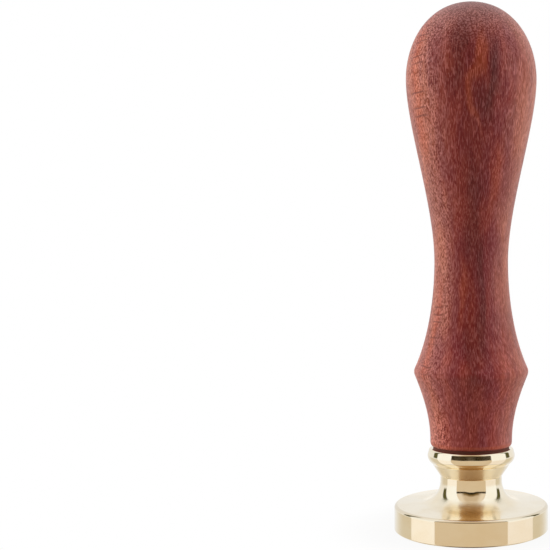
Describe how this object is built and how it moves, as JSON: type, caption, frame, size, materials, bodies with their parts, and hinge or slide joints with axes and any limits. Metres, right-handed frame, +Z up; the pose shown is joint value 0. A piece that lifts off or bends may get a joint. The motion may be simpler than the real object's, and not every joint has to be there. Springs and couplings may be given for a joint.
{
  "type": "wax seal stamp",
  "caption": "Wax seal stamp: a polished brass head with an engraved round face, screwed by a hidden stud to a pear-shaped turned hardwood handle.",
  "frame": {"origin": "centre of the sealing face, on the surface that the stamp stands on", "axes": "+Z up the stamp's axis from the sealing face to the knob; X and Y lie in the sealing face, with a petal of the engraving on +X"},
  "size_m": [0.025, 0.025, 0.0855],
  "materials": {
    "brass": "mirror polished pale brass",
    "fibre": "matt dark brown vulcanised fibre",
    "steel": "bright zinc plated steel",
    "rosewood": "satin oiled red-brown hardwood with fine open pores"
  },
  "bodies": {
    "head": {"stamp_head": "brass"},
    "washer": {"washer": "fibre"},
    "handle": {"handle": "rosewood", "hanger_bolt": "steel"}
  },
  "joints": [
    {"name": "handle_turn", "type": "hinge", "parent": "head", "child": "washer", "pos_m": [0, 0, 0.01313], "axis": [0, 0, 1], "range_deg": [0, 2880]},
    {"name": "handle_lift", "type": "slide", "parent": "washer", "child": "handle", "axis": [0, 0, 1], "range_m": [0, 0.008]}
  ],
  "couplings": [
    {"joint": "handle_lift", "follows": "handle_turn", "m_per_rad": 0.00015915}
  ]
}
